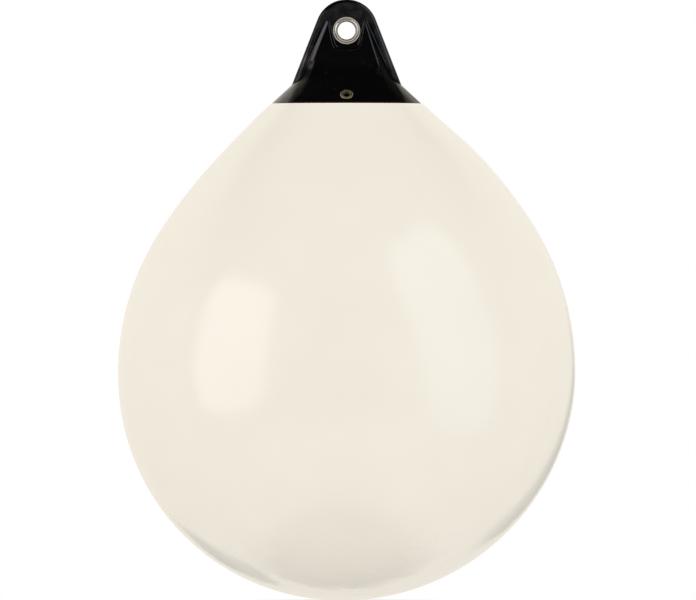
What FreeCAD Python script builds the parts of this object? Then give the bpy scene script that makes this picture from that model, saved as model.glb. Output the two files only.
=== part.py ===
import FreeCAD
import Part

import math
import os

# Inflatable teardrop buoy: a blown vinyl ball whose neck is closed by a solid moulded rope hold
# with one metal-lined eye, and a screw valve in the rope hold's collar.
# Millimetres. The origin is the centre of the rope eye, +Z runs up along the body's axis,
# and the eye's bore runs along Y. The valve is on the side that faces -Y.

# Rope eye and the metal ferrule that lines it
eye_radius = 10.0
ferrule_wall = 1.6
ferrule_flange_width = 5.35
ferrule_bead_width = 3.7
ferrule_bead_height = 2.3
ferrule_brim = 0.8
ferrule_lip = 0.7
ferrule_fit = 0.05

# Lug, the flat plate that carries the eye
lug_radius = 35.5
lug_thickness = 27.2
lug_side_angle = 21.4
lug_bury = 6.0
lug_rim_top = 4.5
lug_rim_foot = 8.5

# Core, the flat-fronted block of solid vinyl that stiffens the lug and grows out of the collar
core_top_height = 24.0
core_inset = 10.9
core_side_angle = 24.6
core_side_draft = 24.0
core_front_top = 17.0
core_front_angle = 17.5
core_side_round = 12.0
core_corner = 3.0
throat_radius = 22.0
core_blend = 1.8

# Pocket that leaves room for the rope on each side of the eye
pocket_margin = 1.9
pocket_reach = 19.8
pocket_corner = 9.0
pocket_flare = 14.0
pocket_draft = 12.0
pocket_lip = 1.0

# Collar and its hidden skirt, with the hollow under them
collar_radius = 85.6
collar_drop = 83.2
collar_angle = 47.36
collar_wall = 7.0
skirt_length = 26.0
skirt_tip = 2.6
cavity_drop = 46.0
cavity_corner = 16.0

# Float body
body_radius = 260.0
body_wall = 3.8
body_step = 0.6
body_edge_round = 0.5
cone_angle = 47.0
cone_length = 49.2
shoulder_angle = 33.5
shoulder_radius = 574.0

# Inflation valve, square to the collar's slope
valve_up_slope = 14.6
valve_flange_width = 1.4
valve_flange_proud = 0.8
valve_flange_bevel = 0.4
valve_seat_depth = 3.0
valve_barrel_wall = 0.9
valve_length = 12.5
valve_end_bare = 1.0
valve_rib_height = 0.6
valve_rib_spacing = 2.2
valve_rib_count = 3
valve_boss_wall = 4.2

# Screw plug of the valve and its sealing washer
plug_radius = 3.95
plug_fit = 0.05
plug_length = 8.0
plug_tip_chamfer = 0.6
plug_head_radius = 5.4
plug_head_thickness = 2.0
plug_head_gap = 0.5
plug_recess_radius = 4.4
plug_recess_depth = 1.4
plug_socket_flats = 5.0
plug_socket_depth = 3.6
washer_width = 1.05
washer_fit = 0.2
washer_thickness = 0.8
washer_gap = 0.05


def at(radius, height):
    """A point of a half section, which lies in the XZ plane."""
    return FreeCAD.Vector(radius, 0.0, height)


def along(point, angle, distance):
    """The point moved down a slope that leans outwards by the angle from the vertical."""
    tilt = math.radians(angle)
    return point + at(distance * math.sin(tilt), -distance * math.cos(tilt))


def outwards(point, angle, distance):
    """The point moved square out of a slope that leans by the angle from the vertical."""
    tilt = math.radians(angle)
    return point + at(distance * math.cos(tilt), distance * math.sin(tilt))


def crossing(first, first_angle, second, second_angle):
    """The point where two slopes of a section meet."""
    first_way = along(at(0.0, 0.0), first_angle, 1.0)
    second_way = along(at(0.0, 0.0), second_angle, 1.0)
    gap = second - first
    scale = first_way.x * second_way.z - first_way.z * second_way.x
    distance = (gap.x * second_way.z - gap.z * second_way.x) / scale
    return first + first_way * distance


def lines(points):
    """The straight edges that join the points in order."""
    return [Part.makeLine(start, end) for start, end in zip(points, points[1:])]


def bend(before, corner, after, radius):
    """The start, the tangent arc and the end of a rounded corner, kept within its two sides."""
    back = (before - corner).normalize()
    ahead = (after - corner).normalize()
    half_angle = back.getAngle(ahead) / 2.0
    shorter = min(before.distanceToPoint(corner), after.distanceToPoint(corner))
    reach = min(radius / math.tan(half_angle), 0.8 * shorter)
    real_radius = reach * math.tan(half_angle)
    middle_way = (back + ahead).normalize()
    middle = corner + middle_way * (real_radius / math.sin(half_angle) - real_radius)
    start = corner + back * reach
    end = corner + ahead * reach
    return start, Part.Arc(start, middle, end).toShape(), end


def turned(edges):
    """The solid that a closed half section makes when it is turned about the vertical axis."""
    face = Part.Face(Part.Wire(edges))
    face.rotate(FreeCAD.Vector(0, 0, 0), FreeCAD.Vector(0, 0, 1), 90.0)
    return face.revolve(FreeCAD.Vector(0, 0, 0), FreeCAD.Vector(0, 0, 1), 360.0)


def mirrored(shape):
    """The same shape on the other side of the lug."""
    return shape.mirror(FreeCAD.Vector(0, 0, 0), FreeCAD.Vector(0, 1, 0))


def edges_on_both(shape, first, second):
    """The edges of a shape that lie on the skins of two other solids, such as where those met."""
    found = []
    for edge in shape.Edges:
        middle = Part.Vertex(edge.valueAt((edge.FirstParameter + edge.LastParameter) / 2.0))
        gaps = [middle.distToShape(solid.Shells[0])[0] for solid in (first, second)]
        if max(gaps) < 0.001:
            found.append(edge)
    return found


def rounded_by_edge(shape, edge_radii):
    """The shape with some edges rounded, each with a radius of its own at either end."""
    document = FreeCAD.newDocument("rounding")
    sharp = document.addObject("Part::Feature", "Sharp")
    sharp.Shape = shape
    rounded = document.addObject("Part::Fillet", "Rounded")
    rounded.Base = sharp
    rounded.Edges = edge_radii
    document.recompute()
    solid = rounded.Shape.Solids[0].copy()
    FreeCAD.closeDocument(document.Name)
    return solid


# Sizes and places that several pieces share
lug_half = lug_thickness / 2.0
flange_radius = eye_radius + ferrule_flange_width
pocket_radius = flange_radius + pocket_margin
collar_edge = at(collar_radius, -collar_drop)
lug_shoulder = outwards(at(0.0, 0.0), lug_side_angle, lug_radius)
lug_landing = crossing(lug_shoulder, lug_side_angle, collar_edge, collar_angle)
neck_edge = outwards(collar_edge, cone_angle, body_step)
neck_root = outwards(neck_edge, cone_angle, -body_wall)
skirt_end = along(neck_root, cone_angle, skirt_length)
washer_hole_radius = plug_radius + washer_fit
washer_radius = washer_hole_radius + washer_width
valve_seat_radius = max(plug_head_radius, washer_radius) + plug_head_gap
valve_flange_radius = valve_seat_radius + valve_flange_width
valve_barrel_radius = valve_seat_radius + valve_barrel_wall
valve_seat_height = valve_flange_proud - valve_seat_depth
washer_top_height = valve_seat_height + washer_thickness
valve_place = along(collar_edge, collar_angle, -valve_up_slope)
valve_placement = FreeCAD.Placement(
    FreeCAD.Vector(0.0, -valve_place.x, valve_place.z),
    FreeCAD.Rotation(FreeCAD.Vector(1, 0, 0), 90.0 - collar_angle),
)


def on_valve(shape):
    """A shape made about the vertical axis, set square on the collar where the valve is."""
    placed = shape.copy()
    placed.Placement = valve_placement.multiply(shape.Placement)
    return placed


def lug_plate():
    """The flat lug: a round top about the eye, and straight sides that spread to the collar."""
    side_length = lug_shoulder.distanceToPoint(lug_landing)
    foot = along(lug_shoulder, lug_side_angle, side_length + lug_bury)
    left_shoulder = at(-lug_shoulder.x, lug_shoulder.z)
    left_foot = at(-foot.x, foot.z)
    crown = Part.Arc(lug_shoulder, at(0.0, lug_radius), left_shoulder).toShape()
    sides = [Part.makeLine(foot, lug_shoulder), crown, Part.makeLine(left_shoulder, left_foot)]
    outline = Part.Wire(sides + [Part.makeLine(left_foot, foot)])
    outline.translate(FreeCAD.Vector(0.0, -lug_half, 0.0))
    plate = Part.Face(outline).extrude(FreeCAD.Vector(0.0, lug_thickness, 0.0))
    return lug_rim_rounded(plate, lug_shoulder.z, foot.z)


def lug_rim_rounded(plate, shoulder_height, foot_height):
    """The lug with its rim rounded on both faces, more and more towards the foot."""
    edge_radii = []
    for number, edge in enumerate(plate.Edges, start=1):
        ends = [edge.valueAt(edge.FirstParameter), edge.valueAt(edge.LastParameter)]
        crosses_rim = abs(ends[0].y - ends[1].y) > lug_half
        lies_at_foot = max(ends[0].z, ends[1].z) < foot_height + lug_rim_foot
        if crosses_rim or lies_at_foot:
            continue
        ways_down = [(shoulder_height - end.z) / (shoulder_height - foot_height) for end in ends]
        radii = [lug_rim_top + way * (lug_rim_foot - lug_rim_top) for way in ways_down]
        edge_radii.append((number, radii[0], radii[1]))
    return rounded_by_edge(plate, edge_radii)


def collar_cone():
    """The turned outside of the collar as one full cone, filled down to the end of its skirt."""
    tip = crossing(at(0.0, 0.0), 0.0, collar_edge, collar_angle)
    points = [tip, collar_edge, neck_root, skirt_end, at(0.0, skirt_end.z), tip]
    return turned(lines(points))


def core_section(height):
    """The core's outline at one height: flat front and back, and sides with draft."""
    draft = math.tan(math.radians(core_side_draft))
    depth = lug_half + (core_front_top - height) * math.tan(math.radians(core_front_angle))
    lug_side = lug_radius / math.cos(math.radians(lug_side_angle))
    at_face = lug_side - core_inset - height * math.tan(math.radians(core_side_angle))
    middle = at_face + lug_half * draft
    front = middle - depth * draft
    corners = [(middle, 0.0), (front, -depth), (-front, -depth)]
    corners += [(-middle, 0.0), (-front, depth), (front, depth), (middle, 0.0)]
    return Part.Wire(lines([FreeCAD.Vector(x, y, height) for x, y in corners]))


def rounded_uprights(block, nearest, furthest, radius):
    """The core's block with its upright edges rounded where they lie between two depths."""
    found = []
    for edge in block.Edges:
        if edge.BoundBox.ZLength > lug_radius and nearest <= abs(edge.BoundBox.Center.y) < furthest:
            found.append(edge)
    return block.makeFillet(radius, found)


def core_block():
    """The core as a tapered block, rounded along its front corners and where the lug hides it."""
    block = Part.makeLoft([core_section(core_top_height), core_section(lug_landing.z)], True, True)
    smoothed = rounded_uprights(block, 0.0, lug_half, core_side_round)
    return rounded_uprights(smoothed, lug_half, collar_radius, core_corner)


def core_and_collar():
    """The core and the collar in one, with a soft throat where they meet."""
    block = core_block()
    collar = collar_cone()
    joined = block.fuse(collar).removeSplitter()
    return joined.makeFillet(throat_radius, edges_on_both(joined, block, collar))


def cavity_in_rope_hold():
    """The hollow under the rope hold, which leaves a wall in the collar and its skirt."""
    ceiling = at(0.0, -cavity_drop)
    collar_inside = outwards(collar_edge, collar_angle, -collar_wall)
    skirt_inside = outwards(skirt_end, cone_angle, -skirt_tip)
    below = along(skirt_inside, cone_angle, collar_wall)
    corner = crossing(collar_inside, collar_angle, ceiling, 90.0)
    start, dome, end = bend(ceiling, corner, collar_inside, cavity_corner)
    edges = lines([ceiling, start]) + [dome]
    edges += lines([end, collar_inside, skirt_inside, below, at(0.0, below.z), ceiling])
    return turned(edges)


def pocket_outline(depth):
    """The pocket's outline at one depth out from the lug's face: a U with a flat bottom."""
    flare = math.radians(pocket_flare)
    centre_drop = pocket_reach - pocket_corner
    spare = pocket_radius - pocket_corner - centre_drop * math.sin(flare)
    centre = at(spare / math.cos(flare), -centre_drop)
    radius = pocket_corner + depth * math.tan(math.radians(pocket_draft))
    bottom = centre + at(0.0, -radius)
    middle_angle = (math.pi / 2.0 + flare) / 2.0
    middle = centre + at(radius * math.cos(middle_angle), -radius * math.sin(middle_angle))
    side = centre + at(radius * math.cos(flare), -radius * math.sin(flare))
    rise = 2.0 * lug_radius - side.z
    top = side + at(rise * math.tan(flare), rise)
    right = [top, side, middle, bottom]
    left = [at(-point.x, point.z) for point in right]
    edges = [Part.makeLine(left[0], left[1]), Part.Arc(left[1], left[2], left[3]).toShape()]
    edges += [Part.makeLine(left[3], bottom), Part.Arc(bottom, middle, side).toShape()]
    edges += [Part.makeLine(side, top), Part.makeLine(top, left[0])]
    outline = Part.Wire(edges)
    outline.translate(FreeCAD.Vector(0.0, -lug_half - depth, 0.0))
    return outline


def pocketed(core):
    """The core with both rope pockets cut and their lips rounded, ready to join the lug."""
    below_face = -lug_half / 2.0
    pocket = Part.makeLoft([pocket_outline(below_face), pocket_outline(collar_radius)], True, True)
    cutters = [pocket, mirrored(pocket)]
    cut = core.cut(cutters)
    lips = []
    for cutter in cutters:
        for edge in edges_on_both(cut, core, cutter):
            reach = max(abs(edge.BoundBox.YMin), abs(edge.BoundBox.YMax))
            if reach > lug_half:
                lips.append(edge)
    return cut.makeFillet(pocket_lip, lips)


def valve_boss():
    """The thick spot inside the collar that holds the valve's barrel."""
    depth = valve_length - valve_flange_proud - valve_end_bare
    start = collar_wall / 2.0
    boss = Part.makeCylinder(valve_barrel_radius + valve_boss_wall, depth - start)
    boss.translate(FreeCAD.Vector(0.0, 0.0, -depth))
    return on_valve(boss)


def valve_outside(extra_end):
    """The valve body with no bore: a flange, and a barrel with ribs that key it in the vinyl."""
    top = valve_flange_proud
    end = top - valve_length - extra_end
    points = [at(0.0, top), at(valve_flange_radius - valve_flange_bevel, top)]
    points += [at(valve_flange_radius, top - valve_flange_bevel), at(valve_flange_radius, 0.0)]
    points.append(at(valve_barrel_radius, 0.0))
    for number in range(1, valve_rib_count + 1):
        height = -number * valve_rib_spacing
        points.append(at(valve_barrel_radius, height + valve_rib_height))
        points.append(at(valve_barrel_radius + valve_rib_height, height))
        points.append(at(valve_barrel_radius, height))
    points += [at(valve_barrel_radius, end), at(0.0, end), at(0.0, top)]
    return turned(lines(points))


def make_rope_hold():
    """The black moulding: lug, core, collar and hidden skirt in one piece."""
    plate = lug_plate()
    core = pocketed(core_and_collar())
    joined = plate.fuse(core).removeSplitter()
    blended = joined.makeFillet(core_blend, edges_on_both(joined, plate, core))
    eye_hole = Part.makeCylinder(
        eye_radius + ferrule_wall + ferrule_fit,
        2.0 * lug_thickness,
        FreeCAD.Vector(0.0, lug_thickness, 0.0),
        FreeCAD.Vector(0, -1, 0),
    )
    hollowed = blended.cut(cavity_in_rope_hold())
    bossed = hollowed.fuse(valve_boss())
    return bossed.cut(eye_hole).cut(on_valve(valve_outside(collar_wall))).removeSplitter()


def make_eye_ferrule():
    """The metal bush through the lug, rolled over to a bead and a flat brim on each face."""
    sleeve_radius = eye_radius + ferrule_wall
    bead_radius = eye_radius + ferrule_bead_width
    mouth_height = lug_half + ferrule_lip
    brim_height = lug_half + ferrule_brim
    edges = []
    for side in (1.0, -1.0):
        mouth = at(eye_radius, side * mouth_height)
        crest = at((eye_radius + bead_radius) / 2.0, side * (lug_half + ferrule_bead_height))
        bead_foot = at(bead_radius, side * brim_height)
        edges.append(Part.Arc(mouth, crest, bead_foot).toShape())
        brim = [bead_foot, at(flange_radius, side * brim_height)]
        brim += [at(flange_radius, side * lug_half), at(sleeve_radius, side * lug_half)]
        edges += lines(brim)
    edges.append(Part.makeLine(at(sleeve_radius, lug_half), at(sleeve_radius, -lug_half)))
    edges.append(Part.makeLine(at(eye_radius, -mouth_height), at(eye_radius, mouth_height)))
    ferrule = turned(Part.sortEdges(edges)[0])
    ferrule.rotate(FreeCAD.Vector(0, 0, 0), FreeCAD.Vector(1, 0, 0), 90.0)
    return ferrule


def body_outline(depth):
    """The float's outline from neck to bottom, at one depth in from its outside."""
    cone_start = outwards(neck_edge, cone_angle, -depth)
    cone_end = along(cone_start, cone_angle, cone_length)
    upper_radius = shoulder_radius - depth
    upper_centre = outwards(cone_end, cone_angle, -upper_radius)
    upper_middle = outwards(upper_centre, (cone_angle + shoulder_angle) / 2.0, upper_radius)
    upper_end = outwards(upper_centre, shoulder_angle, upper_radius)
    equator_radius = body_radius - depth
    lower_radius = (equator_radius - upper_end.x) / (1.0 - math.cos(math.radians(shoulder_angle)))
    lower_centre = outwards(upper_end, shoulder_angle, -lower_radius)
    lower_middle = outwards(lower_centre, shoulder_angle / 2.0, lower_radius)
    equator = lower_centre + at(lower_radius, 0.0)
    centre = at(0.0, equator.z)
    bowl_middle = outwards(centre, -45.0, equator_radius)
    bottom = centre + at(0.0, -equator_radius)
    edges = [
        Part.makeLine(cone_start, cone_end),
        Part.Arc(cone_end, upper_middle, upper_end).toShape(),
        Part.Arc(upper_end, lower_middle, equator).toShape(),
        Part.Arc(equator, bowl_middle, bottom).toShape(),
    ]
    return edges, bottom


def make_float_body():
    """The blown white ball, open at the neck, where its edge laps over the skirt."""
    outside, outer_bottom = body_outline(0.0)
    inside, inner_bottom = body_outline(body_wall)
    cone_middle = outside[0].valueAt(outside[0].LastParameter / 2.0)
    start, edge_arc, end = bend(neck_root, neck_edge, cone_middle, body_edge_round)
    cone_end = outside[0].valueAt(outside[0].LastParameter)
    rim = [Part.makeLine(neck_root, start), edge_arc, Part.makeLine(end, cone_end)]
    closing = [Part.makeLine(outer_bottom, inner_bottom)]
    return turned(Part.sortEdges(rim + outside[1:] + closing + inside)[0])


def make_valve_body():
    """The brass insert: flange, seat for the washer and the plug's head, and threaded bore."""
    seat = Part.makeCylinder(valve_seat_radius, valve_length)
    seat.translate(FreeCAD.Vector(0.0, 0.0, valve_seat_height))
    bore = Part.makeCylinder(plug_radius + plug_fit, 2.0 * valve_length)
    bore.translate(FreeCAD.Vector(0.0, 0.0, -1.5 * valve_length))
    return on_valve(valve_outside(0.0).cut(seat).cut(bore))


def make_valve_plug():
    """The brass screw that closes the valve, with a hexagon socket in a chamfered recess."""
    head_foot = washer_top_height + washer_gap
    top = head_foot + plug_head_thickness
    tip = head_foot - plug_length
    socket_radius = plug_socket_flats / math.sqrt(3.0)
    recess_floor = top - plug_recess_depth
    points = [at(0.0, recess_floor), at(socket_radius, recess_floor), at(plug_recess_radius, top)]
    points += [at(plug_head_radius, top), at(plug_head_radius, head_foot)]
    points += [at(plug_radius, head_foot), at(plug_radius, tip + plug_tip_chamfer)]
    points += [at(plug_radius - plug_tip_chamfer, tip), at(0.0, tip), at(0.0, recess_floor)]
    blank = turned(lines(points))
    corners = []
    for number in range(7):
        turn = math.radians(60.0 * number)
        corner = FreeCAD.Vector(math.cos(turn), math.sin(turn), 0.0) * socket_radius
        corners.append(corner + FreeCAD.Vector(0.0, 0.0, recess_floor - plug_socket_depth))
    hexagon = Part.Face(Part.Wire(lines(corners)))
    socket = hexagon.extrude(FreeCAD.Vector(0.0, 0.0, plug_socket_depth + plug_recess_depth))
    return on_valve(blank.cut(socket))


def make_valve_washer():
    """The rubber washer between the plug's head and its seat."""
    washer = Part.makeCylinder(washer_radius, washer_thickness)
    washer = washer.cut(Part.makeCylinder(washer_hole_radius, washer_thickness))
    washer.translate(FreeCAD.Vector(0.0, 0.0, valve_seat_height))
    return on_valve(washer)


makers = {
    "float_body": make_float_body,
    "rope_hold": make_rope_hold,
    "eye_ferrule": make_eye_ferrule,
    "valve_body": make_valve_body,
    "valve_plug": make_valve_plug,
    "valve_washer": make_valve_washer,
}

os.makedirs("parts", exist_ok=True)
for name, maker in makers.items():
    shape = maker()
    solid = shape.Solids[0]
    solid.exportStep("parts/" + name + ".step")
    print(name, len(shape.Solids), solid.isValid(), round(solid.Volume / 1000.0, 2))
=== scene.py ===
import bpy
import math
import numpy as np
from mathutils import Matrix, Vector


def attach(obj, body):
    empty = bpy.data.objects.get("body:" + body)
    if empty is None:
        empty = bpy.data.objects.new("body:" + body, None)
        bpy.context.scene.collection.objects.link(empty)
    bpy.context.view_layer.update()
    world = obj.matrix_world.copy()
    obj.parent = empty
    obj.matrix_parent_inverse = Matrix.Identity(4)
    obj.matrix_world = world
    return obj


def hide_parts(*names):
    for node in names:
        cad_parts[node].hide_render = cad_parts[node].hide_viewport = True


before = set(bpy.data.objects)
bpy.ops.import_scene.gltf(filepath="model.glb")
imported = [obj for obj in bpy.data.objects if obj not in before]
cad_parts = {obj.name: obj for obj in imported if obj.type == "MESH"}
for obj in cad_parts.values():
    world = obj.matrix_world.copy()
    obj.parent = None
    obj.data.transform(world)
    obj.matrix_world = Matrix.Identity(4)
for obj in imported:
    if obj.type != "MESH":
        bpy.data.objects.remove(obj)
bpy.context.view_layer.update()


# Float body: the white ball and its cone, one blown shell of soft PVC just under 4 mm thick.
# It comes out of a hot turning mould with no seam and a satin skin, and it is pumped up hard,
# so its shape pulls a little out of true. Its neck laps over the rope hold and is welded there.
MM = 0.001
collar_radius = 85.6
collar_drop = 83.2
body_radius = 260.0
body_reach = 259.9
body_wall = 3.8
body_step = 0.6
edge_round = 0.45
cone_angle = 47.0
cone_length = 49.2
shoulder_angle = 33.5
shoulder_radius = 574.0
pole_angle = -89.8
shoulder_swell = 3.2
swell_drop = 150.0
swell_reach = 130.0
bottom_lean = -5.0
lean_from = 400.0
lean_full = 650.0
lean_power = 1.3
neck_grip = 60.0
outside_rows = 14
inside_rows = 5
corner_points = 6
float_turns = 256
float_crease = 50.0
cloud_size = 110.0
patch_size = 35.0
wave_size = 60.0
wave_height = 0.35
crinkle_size = 26.0
crinkle_height = 0.9
crinkle_from = 530.0
crinkle_full = 620.0
peel_size = 3.0
peel_height = 0.003
stretch_polish = 0.07
neck_edge_from = 1.1
neck_edge_full = 0.2

# What a noise pattern mostly spans, and the narrower span that turns it into patches.
noise_span = {"From Min": 0.3, "From Max": 0.7}
patch_span = {"From Min": 0.35, "From Max": 0.65}


def arc_points(centre, radius, start, end, count):
    """Points on an arc of a section, by its angles above the horizontal in degrees."""
    angles = np.radians(np.linspace(start, end, count))
    return [(centre[0] + radius * math.cos(a), centre[1] + radius * math.sin(a)) for a in angles]


def float_outline(depth, rows):
    """The shell's section from its neck down to the pole, at one depth in from its outside."""
    tilt = math.radians(cone_angle)
    turn = math.radians(shoulder_angle)
    proud = body_step - depth
    start = (collar_radius + proud * math.cos(tilt), -collar_drop + proud * math.sin(tilt))
    end = (start[0] + cone_length * math.sin(tilt), start[1] - cone_length * math.cos(tilt))
    upper = shoulder_radius - depth
    upper_centre = (end[0] - upper * math.cos(tilt), end[1] - upper * math.sin(tilt))
    join = (upper_centre[0] + upper * math.cos(turn), upper_centre[1] + upper * math.sin(turn))
    ball = body_radius - depth
    lower = (ball - join[0]) / (1.0 - math.cos(turn))
    lower_centre = (join[0] - lower * math.cos(turn), join[1] - lower * math.sin(turn))
    cone = [(start[0] + share * (end[0] - start[0]), start[1] + share * (end[1] - start[1]))
            for share in np.linspace(0.0, 1.0, rows)]
    outline = cone + arc_points(upper_centre, upper, cone_angle, shoulder_angle, 2 * rows)[1:]
    outline += arc_points(lower_centre, lower, shoulder_angle, 0.0, 3 * rows)[1:]
    outline += arc_points((0.0, lower_centre[1]), ball, 0.0, pole_angle, 6 * rows)[1:]
    return outline


def neck_corner(outline):
    """The outline with its sharp edge at the neck turned into a small round."""
    tilt = math.radians(cone_angle)
    down = (math.sin(tilt), -math.cos(tilt))
    inward = (-math.cos(tilt), -math.sin(tilt))
    centre = (outline[0][0] + edge_round * (down[0] + inward[0]),
              outline[0][1] + edge_round * (down[1] + inward[1]))
    corner = arc_points(centre, edge_round, cone_angle + 90.0, cone_angle, corner_points)
    return corner + outline[1:]


def ring_points(radii, heights):
    """The points of a lathed skin, ring by ring; a radius may differ from turn to turn."""
    turns = radii.shape[1]
    angles = np.linspace(0.0, 2.0 * np.pi, turns, endpoint=False)
    points = np.stack([radii * np.cos(angles), radii * np.sin(angles), heights], axis=-1)
    return points.reshape(-1, 3)


def ring_faces(rings, turns, closed):
    """The quads between neighbouring rings, and from the last to the first on a closed section."""
    faces = []
    for ring in range(rings if closed else rings - 1):
        below = (ring + 1) % rings
        for turn in range(turns):
            after = (turn + 1) % turns
            faces.append((ring * turns + turn, below * turns + turn,
                          below * turns + after, ring * turns + after))
    return faces


def smooth_object(name, points, faces, crease):
    """An object from points in millimetres, smooth apart from edges sharper than the crease."""
    mesh = bpy.data.meshes.new(name)
    mesh.from_pydata((np.asarray(points) * MM).tolist(), [], faces)
    mesh.update()
    mesh.shade_smooth()
    mesh.set_sharp_from_angle(angle=math.radians(crease))
    made = bpy.data.objects.new(name, mesh)
    bpy.context.scene.collection.objects.link(made)
    return made


def out_of_true(points):
    """The blown shell pulls to one side: a swell at its shoulder and a lean towards the pole."""
    drop = -points[:, 2]
    grip = np.clip((drop - collar_drop) / neck_grip, 0.0, 1.0)
    grip = grip * grip * (3.0 - 2.0 * grip)
    swell = np.exp(-((drop - swell_drop) / swell_reach) ** 2)
    low = np.clip((drop - lean_from) / (lean_full - lean_from), 0.0, 1.0)
    points[:, 0] += shoulder_swell * swell * grip + bottom_lean * low ** lean_power
    points[:, 0] = np.clip(points[:, 0], -body_reach, body_reach)
    return points


def linear(hex_colour, strength=1.0):
    """The linear colour of an sRGB hex value such as F0EADC, times a strength."""
    shares = [int(hex_colour[place:place + 2], 16) / 255.0 for place in (0, 2, 4)]
    bright = [s / 12.92 if s <= 0.04045 else ((s + 0.055) / 1.055) ** 2.4 for s in shares]
    return (*[strength * b for b in bright], 1.0)


def add(tree, kind, inputs=None, **settings):
    """Adds a node; an input is a value, a socket, or a node whose first live output is meant."""
    node = tree.nodes.new(kind)
    for name, value in settings.items():
        setattr(node, name, value)
    for name, value in (inputs or {}).items():
        if isinstance(value, bpy.types.Node):
            value = next(socket for socket in value.outputs if socket.enabled)
        if isinstance(value, bpy.types.NodeSocket):
            tree.links.new(value, node.inputs[name])
        else:
            node.inputs[name].default_value = value
    return node


def new_finish(name):
    """An empty node material, with the place of each point on the object in metres."""
    material = bpy.data.materials.new(name)
    material.use_nodes = True
    tree = material.node_tree
    tree.nodes.clear()
    return material, tree, add(tree, "ShaderNodeTexCoord").outputs["Object"]


def float_colour(tree, place, height):
    """Cream-white all over, in two shades too near to tell apart, with a painted highlight on the
    neck's edge.
    """
    cloud = add(tree, "ShaderNodeTexNoise", {
        "Vector": place, "Scale": 1.0 / (cloud_size * MM), "Detail": 2.0})
    tint = add(tree, "ShaderNodeMapRange", {"Value": cloud, **patch_span})
    even = add(tree, "ShaderNodeMix", {
        "Factor": tint, "A": linear("F3EDDF"), "B": linear("F1EBDD")}, data_type="RGBA")
    # The neck's small round is painted whiter: a painted highlight, not a colour of its own.
    neck_highlight = add(tree, "ShaderNodeMapRange", {
        "Value": height, "From Min": -(collar_drop + neck_edge_from) * MM,
        "From Max": -(collar_drop + neck_edge_full) * MM})
    return add(tree, "ShaderNodeMix", {
        "Factor": neck_highlight, "A": even, "B": linear("FBF8F0")}, data_type="RGBA")


def float_relief(tree, place, low):
    """Slow waves all over, crinkles towards the bottom, and orange peel on top of both.
    The peel is drawn 3 mm wide, about twice as coarse as a real one, so that it shows."""
    wave = add(tree, "ShaderNodeTexNoise", {
        "Vector": place, "Scale": 1.0 / (wave_size * MM), "Detail": 1.0})
    crinkle = add(tree, "ShaderNodeTexNoise", {
        "Vector": place, "Scale": 1.0 / (crinkle_size * MM), "Detail": 3.0, "Distortion": 0.6})
    gathered = add(tree, "ShaderNodeMath", {0: crinkle, 1: low}, operation="MULTIPLY")
    relief = add(tree, "ShaderNodeBump", {"Height": wave, "Distance": wave_height * MM})
    relief = add(tree, "ShaderNodeBump", {
        "Height": gathered, "Distance": crinkle_height * MM, "Normal": relief})
    peel = add(tree, "ShaderNodeTexNoise", {
        "Vector": place, "Scale": 1.0 / (peel_size * MM), "Detail": 1.0})
    return add(tree, "ShaderNodeBump", {
        "Height": peel, "Distance": peel_height * MM, "Normal": relief})


def blown_satin_vinyl():
    """Cream-white PVC with an even colour and a satin skin that spreads a window's image softly.
    The skin is a little smoother at the bottom, so that what it mirrors there has crisper edges."""
    material, tree, place = new_finish("blown_satin_vinyl")
    height = add(tree, "ShaderNodeSeparateXYZ", {"Vector": place}).outputs["Z"]
    low = add(tree, "ShaderNodeMapRange", {
        "Value": height, "From Min": -crinkle_from * MM, "From Max": -crinkle_full * MM})
    patch = add(tree, "ShaderNodeTexNoise", {
        "Vector": place, "Scale": 1.0 / (patch_size * MM), "Detail": 3.0})
    satin = add(tree, "ShaderNodeMapRange", {
        "Value": patch, **noise_span, "To Min": 0.15, "To Max": 0.19})
    rough = add(tree, "ShaderNodeMath", {
        0: low, 1: -stretch_polish, 2: satin}, operation="MULTIPLY_ADD")
    shader = add(tree, "ShaderNodeBsdfPrincipled", {
        "Base Color": float_colour(tree, place, height), "Roughness": rough, "IOR": 1.52,
        "Normal": float_relief(tree, place, low)})
    add(tree, "ShaderNodeOutputMaterial", {"Surface": shader})
    return material


outside = neck_corner(float_outline(0.0, outside_rows))
section = np.array(outside + float_outline(body_wall, inside_rows)[::-1])
shell_points = out_of_true(ring_points(
    np.repeat(section[:, :1], float_turns, axis=1), np.repeat(section[:, 1:], float_turns, axis=1)))
shell_faces = ring_faces(len(section), float_turns, True)
float_shell = smooth_object("float_shell", shell_points, shell_faces, float_crease)
float_shell.data.materials.append(blown_satin_vinyl())
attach(float_shell, "buoy")
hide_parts("float_body")


# Rope hold: the black lug, core and collar with the eye, one solid moulding of PVC.
# Its polished mould leaves it glossy with a faintly wavy skin, a few pale flecks of dust,
# and a thin brown line where the float's neck was welded over it.
lug_side_angle = 21.4
plate_front = 13.7
pocket_half_width = 17.0
weld_top = 2.2
weld_full = 0.9
flow_size = 11.0
flow_height = 0.45
ripple_size = 3.5
ripple_height = 0.012
fleck_size = 2.2
dressed_face = Vector((-0.51, -0.836, 0.205))
dullest = 0.95

# Only the rare peaks of a noise pattern become flecks.
fleck_span = {"From Min": 0.77, "From Max": 0.79}

# Bands beside the core's root, in millimetres out from the line where its side meets the lug.
# That line passes the eye's centre at root_span and slants as the lug's sides do.
root_span = 27.2
root_blur = 0.3
root_bands = {"streak": (-2.6, 1.0), "groove": (1.3, 3.9), "core": (-60.0, -2.6)}

# The places where the mould's polish fails, each as the shares that have to hold together.
# The last one takes dullness away again, because the collar is polished best.
left_flank = ("left", "leftward", "above_foot", "over_plate")
dull_places = (
    (*left_flank, "core"),
    ("rightward", "over_plate"),
    ("groove", "frontal", "beside_eye"),
    ("leftward", "upper_rim", "on_plate"),
    ("throat", "inward_dull"),
    ("right", "frontward", "collar"),
    ("patchy", "lug", "frontal"),
    ("below_eye", "in_pocket", "on_plate"),
    ("collar_polish",),
)


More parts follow.
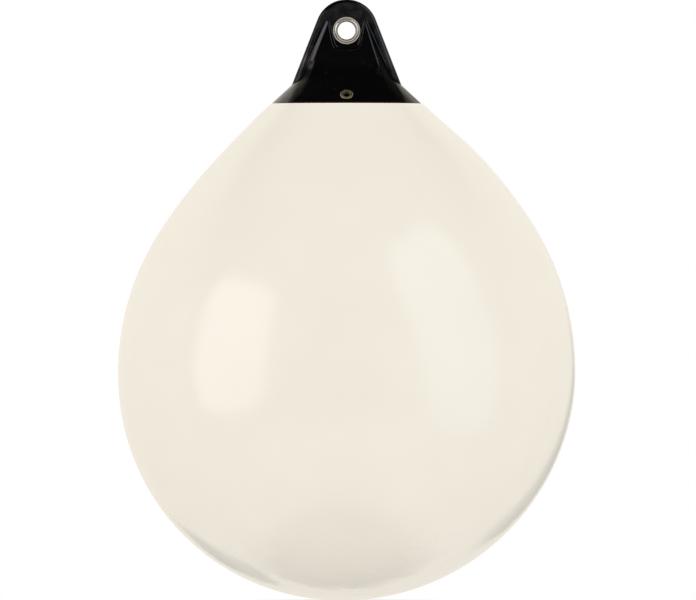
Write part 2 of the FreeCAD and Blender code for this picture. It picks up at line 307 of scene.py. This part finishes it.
def band_share(tree, length, start, end, blur):
    """How far a length lies between two limits in millimetres, from 0 to 1."""
    entered, left = [add(tree, "ShaderNodeMapRange", {
        "Value": length, "From Min": (limit - blur) * MM, "From Max": (limit + blur) * MM})
        for limit in (start, end)]
    return add(tree, "ShaderNodeMath", {0: entered, 1: left}, operation="SUBTRACT")


def all_of(tree, shares):
    """How far several shares hold together: their product."""
    together = shares[0]
    for share in shares[1:]:
        together = add(tree, "ShaderNodeMath", {0: together, 1: share}, operation="MULTIPLY")
    return together


def side_shares(spot, span, facing):
    """The shares that are either 0 or 1: what is compared, with what limit, and how."""
    return {
        "left": (spot["X"], 0.0, "LESS_THAN"),
        "right": (spot["X"], 0.0, "GREATER_THAN"),
        "over_plate": (spot["Y"], -plate_front * MM, "LESS_THAN"),
        "on_plate": (spot["Y"], -plate_front * MM, "GREATER_THAN"),
        "in_pocket": (span, pocket_half_width * MM, "LESS_THAN"),
        "frontal": (facing["Y"], -0.9, "LESS_THAN"),
    }


def fading_shares(spot, past_root, facing, flow):
    """The shares that fade: what is measured, from where to where, and the shares at both ends.
    Heights are from the eye's centre, and a facing is one part of the surface's direction."""
    return {
        "leftward": (facing["X"], -0.25, -0.4, 0.0, 1.0),
        "rightward": (facing["X"], 0.6, 0.75, 0.0, 1.0),
        "frontward": (facing["Y"], -0.24, -0.36, 0.0, 0.6),
        "above_foot": (spot["Z"], -41.0 * MM, -32.0 * MM, 0.0, 1.0),
        "beside_eye": (spot["Z"], 14.0 * MM, 6.0 * MM, 0.0, 0.7),
        "below_eye": (spot["Z"], -6.0 * MM, -12.0 * MM, 0.0, 0.6),
        "upper_rim": (spot["Z"], -32.0 * MM, -22.0 * MM, 0.0, 0.6),
        "lug": (spot["Z"], -34.0 * MM, -24.0 * MM, 0.0, 1.0),
        "throat": (spot["Z"], -35.0 * MM, -45.0 * MM, 0.0, 1.0),
        "collar": (spot["Z"], -52.0 * MM, -60.0 * MM, 0.0, 1.0),
        "collar_polish": (spot["Z"], -52.0 * MM, -60.0 * MM, 0.0, -0.25),
        "inward_dull": (past_root, 3.0 * MM, 9.0 * MM, 0.95, 0.4),
        "patchy": (flow, 0.38, 0.62, 0.0, 0.6),
    }


def hold_shares(tree, place, flow):
    """How far a point lies at each of the moulding's places, by name."""
    spot = add(tree, "ShaderNodeSeparateXYZ", {"Vector": place}).outputs
    normal = add(tree, "ShaderNodeNewGeometry").outputs["Normal"]
    facing = add(tree, "ShaderNodeSeparateXYZ", {"Vector": normal}).outputs
    span = add(tree, "ShaderNodeMath", {0: spot["X"]}, operation="ABSOLUTE")
    slant = math.tan(math.radians(lug_side_angle))
    risen = add(tree, "ShaderNodeMath", {
        0: spot["Z"], 1: slant, 2: -root_span * MM}, operation="MULTIPLY_ADD")
    past_root = add(tree, "ShaderNodeMath", {0: span, 1: risen}, operation="ADD")
    shares = {name: band_share(tree, past_root, start, end, root_blur)
              for name, (start, end) in root_bands.items()}
    for name, (value, limit, way) in side_shares(spot, span, facing).items():
        shares[name] = add(tree, "ShaderNodeMath", {0: value, 1: limit}, operation=way)
    for name, (value, start, end, first, last) in fading_shares(
            spot, past_root, facing, flow).items():
        shares[name] = add(tree, "ShaderNodeMapRange", {
            "Value": value, "From Min": start, "From Max": end, "To Min": first, "To Max": last})
    return shares


def hold_colour(tree, place, flow):
    """Carbon black, browned by the weld's heat at the foot, with pale flecks of dust.
    Their pattern is 2 mm coarse, far coarser than real dust, so that a few of them show."""
    height = add(tree, "ShaderNodeSeparateXYZ", {"Vector": place}).outputs["Z"]
    black = add(tree, "ShaderNodeMix", {
        "Factor": flow, "A": linear("050505"), "B": linear("080707")}, data_type="RGBA")
    near_weld = add(tree, "ShaderNodeMapRange", {
        "Value": height, "From Min": -(collar_drop - weld_top) * MM,
        "From Max": -(collar_drop - weld_full) * MM})
    welded = add(tree, "ShaderNodeMix", {
        "Factor": near_weld, "A": black, "B": linear("38120C")}, data_type="RGBA")
    speck = add(tree, "ShaderNodeTexNoise", {
        "Vector": place, "Scale": 1.0 / (fleck_size * MM), "Detail": 2.0})
    fleck = add(tree, "ShaderNodeMapRange", {"Value": speck, **fleck_span})
    return add(tree, "ShaderNodeMix", {
        "Factor": fleck, "A": welded, "B": linear("5A554E")}, data_type="RGBA")


def hold_relief(tree, place, flow, dressed):
    """Slow waves and a fine ripple, and one even face where the left flank was dressed."""
    waved = add(tree, "ShaderNodeBump", {"Height": flow, "Distance": flow_height * MM})
    ripple = add(tree, "ShaderNodeTexNoise", {
        "Vector": place, "Scale": 1.0 / (ripple_size * MM), "Detail": 1.0})
    skin = add(tree, "ShaderNodeBump", {
        "Height": ripple, "Distance": ripple_height * MM, "Normal": waved})
    return add(tree, "ShaderNodeMix", {
        "Factor": dressed, "A": skin, "B": dressed_face}, data_type="VECTOR")


def polished_black_vinyl():
    """Black PVC from a polished mould: it shows no shade of its own, only what it mirrors.
    The mould's polish fails in the roots, the throat and near the weld, where the skin is dull,
    and its left flank was dressed to a flatter face, so that it catches the light as one streak."""
    material, tree, place = new_finish("polished_black_vinyl")
    flow = add(tree, "ShaderNodeTexNoise", {
        "Vector": place, "Scale": 1.0 / (flow_size * MM), "Detail": 2.0})
    shares = hold_shares(tree, place, flow)
    dressed = all_of(tree, [shares[name] for name in (*left_flank, "streak")])
    colour = hold_colour(tree, place, flow)
    rough = add(tree, "ShaderNodeMapRange", {
        "Value": flow, **noise_span, "To Min": 0.10, "To Max": 0.18})
    gloss = add(tree, "ShaderNodeBsdfPrincipled", {
        "Base Color": colour, "Roughness": rough, "IOR": 1.53,
        "Normal": hold_relief(tree, place, flow, dressed)})
    dull = 0.0
    for names in dull_places:
        part = all_of(tree, [shares[name] for name in names])
        dull = add(tree, "ShaderNodeMath", {0: dull, 1: part}, operation="ADD")
    dull = add(tree, "ShaderNodeClamp", {"Value": dull, "Max": dullest})
    matt = add(tree, "ShaderNodeBsdfDiffuse", {"Color": colour})
    both = add(tree, "ShaderNodeMixShader", {0: dull, 1: gloss, 2: matt})
    add(tree, "ShaderNodeOutputMaterial", {"Surface": both})
    return material


def finish_node(name, material):
    """A piece of the frame that keeps its own mesh gets its finish."""
    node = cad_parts[name]
    node.data.materials.clear()
    node.data.materials.append(material)


finish_node("rope_hold", polished_black_vinyl())


# Eye ferrule: the bush that lines the rope eye, pressed from a stainless steel tube and rolled
# over on both faces of the lug. It is polished, with fine wear from ropes. Painted shade darkens
# the groove between its bead and its brim, and more faintly the bead's outer slope.
wear_size = 4.0
groove_radius = 11.0
groove_width = 0.8
groove_shade = 0.85
slope_shade_radius = 13.9
slope_shade_width = 0.5
slope_shade = 0.4
shade_core = 0.3


def polished_stainless():
    """Stainless steel, pressed and polished: a soft mirror, a little warmer where it has worn."""
    material, tree, place = new_finish("polished_stainless_steel")
    worn = add(tree, "ShaderNodeTexNoise", {
        "Vector": place, "Scale": 1.0 / (wear_size * MM), "Detail": 3.0})
    bright = add(tree, "ShaderNodeMix", {
        "Factor": worn, "A": linear("F4EFE2"), "B": linear("E8DFCD")}, data_type="RGBA")
    flat = add(tree, "ShaderNodeVectorMath", {0: place, 1: (1.0, 0.0, 1.0)}, operation="MULTIPLY")
    radius = add(tree, "ShaderNodeVectorMath", {0: flat}, operation="LENGTH").outputs["Value"]
    # Two rings of painted shade: a dark one in the groove, a faint one on the bead's outer slope.
    painted_shade = 0.0
    for line, width, most in ((groove_radius, groove_width, groove_shade),
                              (slope_shade_radius, slope_shade_width, slope_shade)):
        off = add(tree, "ShaderNodeMath", {0: radius, 1: line * MM}, operation="SUBTRACT")
        off = add(tree, "ShaderNodeMath", {0: off}, operation="ABSOLUTE")
        ring_shade = add(tree, "ShaderNodeMapRange", {
            "Value": off, "From Min": width * MM, "From Max": shade_core * width * MM,
            "To Max": most})
        painted_shade = add(tree, "ShaderNodeMath", {0: painted_shade, 1: ring_shade}, operation="ADD")
    colour = add(tree, "ShaderNodeMix", {
        "Factor": painted_shade, "A": bright, "B": linear("3C3833")}, data_type="RGBA")
    rough = add(tree, "ShaderNodeMapRange", {
        "Value": worn, **noise_span, "To Min": 0.12, "To Max": 0.22})
    shader = add(tree, "ShaderNodeBsdfPrincipled", {
        "Base Color": colour, "Roughness": rough, "Metallic": 0.82})
    add(tree, "ShaderNodeOutputMaterial", {"Surface": shader})
    return material


finish_node("eye_ferrule", polished_stainless())


# Valve body: a turned brass insert with a narrow flange, moulded into the collar's slope.
# Brass that has gone dull and olive in salt air, with painted shade in the plug's recess
# and in the ring between the plug's head and the flange.
valve_up_slope = 14.6
slope = math.radians(47.36)
valve_axis = Vector((0.0, -math.cos(slope), math.sin(slope)))
valve_place = Vector((0.0, -collar_radius + valve_up_slope * math.sin(slope),
                      -collar_drop + valve_up_slope * math.cos(slope))) * MM
stain_size = 2.0
ring_blur = 0.2
recess_shade = (1.2, 4.3, 0.95)
seat_shade = (4.9, 6.2, 0.6)


def dull_brass():
    """Turned brass gone dull: an olive bloom over the metal leaves only a broad soft glint."""
    material, tree, place = new_finish("dull_turned_brass")
    stain = add(tree, "ShaderNodeTexNoise", {
        "Vector": place, "Scale": 1.0 / (stain_size * MM), "Detail": 3.0})
    share = add(tree, "ShaderNodeMapRange", {"Value": stain, **patch_span})
    bloom = add(tree, "ShaderNodeMix", {
        "Factor": share, "A": linear("B4A680"), "B": linear("857A58")}, data_type="RGBA")
    arm = add(tree, "ShaderNodeVectorMath", {0: place, 1: valve_place}, operation="SUBTRACT")
    arm = add(tree, "ShaderNodeVectorMath", {0: arm, 1: valve_axis}, operation="CROSS_PRODUCT")
    radius = add(tree, "ShaderNodeVectorMath", {0: arm}, operation="LENGTH").outputs["Value"]
    # Painted shade: the plug's recess and the ring round its head are darkened in the colour.
    painted_shade = 0.0
    for inner, outer, most in (recess_shade, seat_shade):
        ring = band_share(tree, radius, inner, outer, ring_blur)
        painted_shade = add(tree, "ShaderNodeMath", {0: ring, 1: most, 2: painted_shade}, operation="MULTIPLY_ADD")
    colour = add(tree, "ShaderNodeMix", {
        "Factor": painted_shade, "A": bloom, "B": linear("15120C")}, data_type="RGBA")
    rough = add(tree, "ShaderNodeMapRange", {
        "Value": stain, **noise_span, "To Min": 0.36, "To Max": 0.5})
    shader = add(tree, "ShaderNodeBsdfPrincipled", {
        "Base Color": colour, "Roughness": rough, "Metallic": 0.7})
    add(tree, "ShaderNodeOutputMaterial", {"Surface": shader})
    return material


brass = dull_brass()
finish_node("valve_body", brass)


# Valve plug: the turned brass screw that closes the valve, with a hexagon socket in a wide
# recess. Its thread is cut to the same pitch that it climbs by when it is turned out.
thread_pitch = 1.25
thread_depth = 0.62
thread_flat = 0.15
plug_radius = 3.95
plug_length = 8.0
plug_tip_chamfer = 0.6
plug_tip_radius = 3.05
head_radius = 5.4
head_bevel = 0.2
head_top = 0.65
head_foot = -1.35
recess_radius = 4.4
recess_floor = -0.75
socket_flats = 5.0
socket_floor = -4.35
plug_turns = 96
rows_per_pitch = 12
plug_crease = 35.0


def hexagon_radii(angles):
    """The radius of the hexagon socket at some angles round the plug's axis."""
    side = np.pi / 3.0
    return 0.5 * socket_flats / np.cos((angles + side / 2.0) % side - side / 2.0)


def threaded_plug():
    """The plug's rings from the socket's floor over the head and down the thread to the tip."""
    angles = np.linspace(0.0, 2.0 * np.pi, plug_turns, endpoint=False)
    hexagon = hexagon_radii(angles)
    rings = [(hexagon, socket_floor), (hexagon, recess_floor)]
    for radius, height in ((recess_radius, head_top), (head_radius - head_bevel, head_top),
                           (head_radius, head_top - head_bevel), (head_radius, head_foot)):
        rings.append((np.full(plug_turns, radius), height))
    thread_end = head_foot - plug_length + plug_tip_chamfer
    rows = int(rows_per_pitch * (head_foot - thread_end) / thread_pitch)
    for height in np.linspace(head_foot, thread_end, rows):
        phase = (height / thread_pitch - angles / (2.0 * np.pi)) % 1.0
        flank = np.abs(2.0 * phase - 1.0) * (1.0 + 2.0 * thread_flat) - thread_flat
        runout = min(1.0, (head_foot - height) / thread_pitch)
        rings.append((plug_radius - thread_depth * np.clip(flank, 0.0, 1.0) * runout, height))
    rings.append((np.full(plug_turns, plug_tip_radius), thread_end - plug_tip_chamfer))
    radii = np.array([ring for ring, height in rings])
    heights = np.array([np.full(plug_turns, height) for ring, height in rings])
    return ring_points(radii, heights), len(rings)


valve_tilt = Matrix.Rotation(math.pi / 2.0 - slope, 3, "X")
plug_points, plug_rings = threaded_plug()
plug_points = plug_points @ np.array(valve_tilt).T + np.array(valve_place) / MM
plug_faces = ring_faces(plug_rings, plug_turns, False)

# One face closes the socket's floor, and one the tip.
plug_faces.append(tuple(range(plug_turns)))
plug_faces.append(tuple(range(plug_rings * plug_turns - 1, (plug_rings - 1) * plug_turns - 1, -1)))
screw_plug = smooth_object("screw_plug", plug_points, plug_faces, plug_crease)
screw_plug.data.materials.append(brass)
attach(screw_plug, "plug")
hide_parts("valve_plug")


# Valve washer: a ring of black nitrile rubber, punched from a sheet.
# It lies under the plug's head and rises with it.
dust_size = 0.5
grain_height = 0.02


def matt_nitrile():
    """Punched nitrile rubber: matt, with a fine dusty grain."""
    material, tree, place = new_finish("matt_nitrile_rubber")
    dust = add(tree, "ShaderNodeTexNoise", {
        "Vector": place, "Scale": 1.0 / (dust_size * MM), "Detail": 2.0})
    colour = add(tree, "ShaderNodeMix", {
        "Factor": dust, "A": linear("161616"), "B": linear("282726")}, data_type="RGBA")
    grain = add(tree, "ShaderNodeBump", {"Height": dust, "Distance": grain_height * MM})
    shader = add(tree, "ShaderNodeBsdfPrincipled", {
        "Base Color": colour, "Roughness": 0.75, "Normal": grain})
    add(tree, "ShaderNodeOutputMaterial", {"Surface": shader})
    return material


finish_node("valve_washer", matt_nitrile())


# Floor: a plain pale floor just under the float. It is matt, it keeps the float's shadow,
# and it turns white further out.
floor_drop = 648.4
floor_radius = 3000.0
floor_corners = 96
floor_crease = 30.0
floor_grain = 4.0
floor_white_from = 40.0
floor_white_to = 150.0


def pale_floor():
    """Matt pale floor, plain white to the camera beyond the float's shadow."""
    material, tree, place = new_finish("matt_pale_floor")
    speck = add(tree, "ShaderNodeTexNoise", {
        "Vector": place, "Scale": 1.0 / (floor_grain * MM), "Detail": 2.0})
    colour = add(tree, "ShaderNodeMix", {
        "Factor": speck, "A": linear("FAF9F7"), "B": linear("F6F5F3")}, data_type="RGBA")
    flat = add(tree, "ShaderNodeVectorMath", {0: place, 1: (1.0, 1.0, 0.0)}, operation="MULTIPLY")
    away = add(tree, "ShaderNodeVectorMath", {0: flat}, operation="LENGTH").outputs["Value"]
    fade = add(tree, "ShaderNodeMapRange", {
        "Value": away, "From Min": floor_white_from * MM, "From Max": floor_white_to * MM})
    seen = add(tree, "ShaderNodeLightPath").outputs["Is Camera Ray"]
    share = add(tree, "ShaderNodeMath", {0: fade, 1: seen}, operation="MULTIPLY")
    matt = add(tree, "ShaderNodeBsdfDiffuse", {"Color": colour})
    white = add(tree, "ShaderNodeEmission", {"Color": linear("FFFFFF")})
    both = add(tree, "ShaderNodeMixShader", {0: share, 1: matt, 2: white})
    add(tree, "ShaderNodeOutputMaterial", {"Surface": both})
    return material


rim_angles = np.linspace(0.0, 2.0 * np.pi, floor_corners, endpoint=False)
floor_points = [(floor_radius * math.cos(a), floor_radius * math.sin(a), -floor_drop)
                for a in rim_angles]
floor = smooth_object("floor", floor_points, [tuple(range(floor_corners))], floor_crease)
floor.data.materials.append(pale_floor())

# The float is lit and mirrored by the studio alone, which holds this floor's shade as well.
floor.visible_glossy = False
floor.visible_diffuse = False
floor.visible_shadow = False


# Studio: even white light from all round, a little less of it from under the float.
# What glossy surfaces mirror is a white wall behind, a dim room in front, two tall windows to
# the left and right of the camera, the dark floor under the float, and two grey stands.

# A level or strength of 1 is white. An edge is where a change begins and ends: the height of a
# direction one long, or how far it goes back for the wall's side and to the right for its tint.
brightest = 2.5
wall_level = 0.91
wall_top_level = 0.02
wall_edge = (0.56, 0.72)
wall_side_edge = (-0.2, 1.0)
tint_edge = (-0.4, 0.4)
front_darkest = 0.10
front_lightest = 0.60
front_top_level = 0.005
front_edge = (0.22, 0.55)
table_level = 0.6
table_edge = (-0.25, -0.6)
floor_edge = (-0.505, -0.535)
floor_tear = 0.2
under_shade = 0.55
top_light = 1.06
least_ahead = 0.05

world = bpy.data.worlds.new("studio")
bpy.context.scene.world = world
world.use_nodes = True
room = world.node_tree
room.nodes.clear()
toward = add(room, "ShaderNodeTexCoord").outputs["Generated"]
way = add(room, "ShaderNodeSeparateXYZ", {"Vector": toward}).outputs

# Both patterns lie on directions, so a scale of 13 gives spots a thirteenth of a radian wide.
unevenness = add(room, "ShaderNodeTexNoise", {"Vector": toward, "Scale": 13.0, "Detail": 4.0})
crowd = add(room, "ShaderNodeTexNoise", {"Vector": toward, "Scale": 10.0, "Detail": 1.0})


def panel_reach(ahead, sides, squareness):
    """How far out a direction meets a panel's plane, where 1 is the panel's edge."""
    reach = []
    for side in sides:
        along = add(room, "ShaderNodeVectorMath", {
            0: toward, 1: side}, operation="DOT_PRODUCT").outputs["Value"]
        away = add(room, "ShaderNodeMath", {0: along, 1: ahead}, operation="DIVIDE")
        size = add(room, "ShaderNodeMath", {0: away}, operation="ABSOLUTE")
        reach.append(add(room, "ShaderNodeMath", {0: size, 1: squareness}, operation="POWER"))
    total = add(room, "ShaderNodeMath", {0: reach[0], 1: reach[1]}, operation="ADD")
    return add(room, "ShaderNodeMath", {0: total, 1: 1.0 / squareness}, operation="POWER")


def panel_share(azimuth, elevation, roll, half_width, half_height, soft, squareness, ragged):
    """How much a direction points at a flat panel out there, from 0 to 1. Azimuth runs right
    from the camera's side, a roll leans the panel's top that way, and sizes are shares of the
    panel's distance."""
    across, up = math.radians(azimuth), math.radians(elevation)
    facing = Vector((math.sin(across) * math.cos(up), -math.cos(across) * math.cos(up), math.sin(up)))
    level = Vector((math.cos(across), math.sin(across), 0.0))
    lean = math.radians(roll)
    right = math.cos(lean) * level - math.sin(lean) * facing.cross(level)
    over = math.sin(lean) * level + math.cos(lean) * facing.cross(level)
    ahead = add(room, "ShaderNodeVectorMath", {
        0: toward, 1: facing}, operation="DOT_PRODUCT").outputs["Value"]
    edge = panel_reach(ahead, (right / half_width, over / half_height), squareness)
    torn = add(room, "ShaderNodeMath", {0: unevenness, 1: ragged, 2: edge}, operation="MULTIPLY_ADD")
    middle = 1.0 + 0.5 * ragged
    inside = add(room, "ShaderNodeMapRange", {
        "Value": torn, "From Min": middle + soft, "From Max": middle - soft},
        interpolation_type="SMOOTHSTEP")
    before = add(room, "ShaderNodeMath", {0: ahead, 1: least_ahead}, operation="GREATER_THAN")
    return add(room, "ShaderNodeMath", {0: inside, 1: before}, operation="MULTIPLY")


clutter = add(room, "ShaderNodeMapRange", {
    "Value": crowd, **patch_span, "To Min": front_darkest, "To Max": front_lightest})
front = add(room, "ShaderNodeMapRange", {
    "Value": way["Z"], "From Min": front_edge[0], "From Max": front_edge[1],
    "To Min": clutter, "To Max": front_top_level})
table = add(room, "ShaderNodeMapRange", {
    "Value": way["Z"], "From Min": table_edge[0], "From Max": table_edge[1], "To Max": table_level})
dim = add(room, "ShaderNodeMath", {0: front, 1: table}, operation="ADD")
grey = add(room, "ShaderNodeMath", {0: dim, 1: 1.0 / brightest}, operation="MULTIPLY")
near = add(room, "ShaderNodeCombineColor", {0: grey, 1: grey, 2: grey})

high = add(room, "ShaderNodeMapRange", {
    "Value": way["Z"], "From Min": wall_edge[0], "From Max": wall_edge[1]},
    interpolation_type="SMOOTHSTEP")
wall_light = add(room, "ShaderNodeMapRange", {
    "Value": high, "To Min": wall_level / brightest, "To Max": wall_top_level / brightest})
to_right = add(room, "ShaderNodeMapRange", {
    "Value": way["X"], "From Min": tint_edge[0], "From Max": tint_edge[1]})
wall_tint = add(room, "ShaderNodeMix", {
    "Factor": to_right, "A": linear("FFF6EA"), "B": linear("FFF7ED")}, data_type="RGBA")
wall = add(room, "ShaderNodeVectorMath", {0: wall_tint, "Scale": wall_light}, operation="SCALE")
behind = add(room, "ShaderNodeMapRange", {
    "Value": way["Y"], "From Min": wall_side_edge[0], "From Max": wall_side_edge[1]})
mirrored = add(room, "ShaderNodeMix", {"Factor": behind, "A": near, "B": wall}, data_type="RGBA")

left_window = panel_share(
    azimuth=-62.0, elevation=9.5, roll=0.0, half_width=0.38, half_height=0.48,
    soft=0.08, squareness=5.0, ragged=0.0)
right_window = panel_share(
    azimuth=59.0, elevation=15.0, roll=-9.0, half_width=0.40, half_height=0.92,
    soft=0.10, squareness=5.0, ragged=0.0)
under_float = panel_share(
    azimuth=180.0, elevation=-74.0, roll=0.0, half_width=0.42, half_height=0.80,
    soft=0.35, squareness=2.0, ragged=0.5)
right_stand = panel_share(
    azimuth=159.0, elevation=-13.0, roll=24.0, half_width=0.11, half_height=0.30,
    soft=0.25, squareness=2.0, ragged=0.2)
left_stand = panel_share(
    azimuth=-163.0, elevation=-26.0, roll=-15.0, half_width=0.11, half_height=0.20,
    soft=0.3, squareness=2.0, ragged=1.2)
torn_edge = add(room, "ShaderNodeMath", {
    0: unevenness, 1: floor_tear, 2: way["Z"]}, operation="MULTIPLY_ADD")
below_edge = add(room, "ShaderNodeMapRange", {
    "Value": torn_edge, "From Min": floor_edge[0], "From Max": floor_edge[1]})
dark_floor = add(room, "ShaderNodeMath", {0: under_float, 1: below_edge}, operation="MULTIPLY")
for share, colour, strength in (
        (left_window, "FFF3FB", 2.1), (right_window, "E0F2FF", 1.4), (dark_floor, "000000", 1.0),
        (right_stand, "868686", 1.0), (left_stand, "909090", 1.0)):
    mirrored = add(room, "ShaderNodeMix", {
        "Factor": share, "A": mirrored, "B": linear(colour, strength / brightest)},
        data_type="RGBA")

open_light = add(room, "ShaderNodeMapRange", {"Value": way["Z"], "To Min": 1.0, "To Max": top_light})
shaded = add(room, "ShaderNodeMath", {
    0: under_float, 1: -under_shade, 2: open_light}, operation="MULTIPLY_ADD")
even_light = add(room, "ShaderNodeBackground", {"Color": linear("FFFFFF"), "Strength": shaded})
gloss_light = add(room, "ShaderNodeBackground", {"Color": mirrored, "Strength": brightest})
backdrop = add(room, "ShaderNodeBackground", {"Color": linear("FFFFFF"), "Strength": 1.0})
ray = add(room, "ShaderNodeLightPath").outputs
lit = add(room, "ShaderNodeMixShader", {0: ray["Is Glossy Ray"], 1: even_light, 2: gloss_light})
shown = add(room, "ShaderNodeMixShader", {0: ray["Is Camera Ray"], 1: lit, 2: backdrop})
add(room, "ShaderNodeOutputWorld", {"Surface": shown})


# Camera: level, square to the eye, and so far off that the float shows almost no perspective.
# Its lens and its place put the eye's centre where the photo has it, at a known size a pixel.
camera_distance = 25.0
sight_end = 60.0
pixel = 1.1372
picture_width = 696.0
picture_height = 600.0
eye_column = 346.6
eye_row = 30.7
sensor = 36.0

camera_data = bpy.data.cameras.new("camera")
camera_data.sensor_width = sensor
camera_data.lens = sensor * camera_distance / (picture_width * pixel * MM)
camera_data.clip_end = sight_end
camera = bpy.data.objects.new("camera", camera_data)
bpy.context.scene.collection.objects.link(camera)
camera.location = ((picture_width / 2.0 - eye_column) * pixel * MM, -camera_distance,
                   (eye_row - picture_height / 2.0) * pixel * MM)
camera.rotation_euler = (math.pi / 2.0, 0.0, 0.0)
bpy.context.scene.camera = camera
bpy.context.scene.view_settings.view_transform = "Standard"
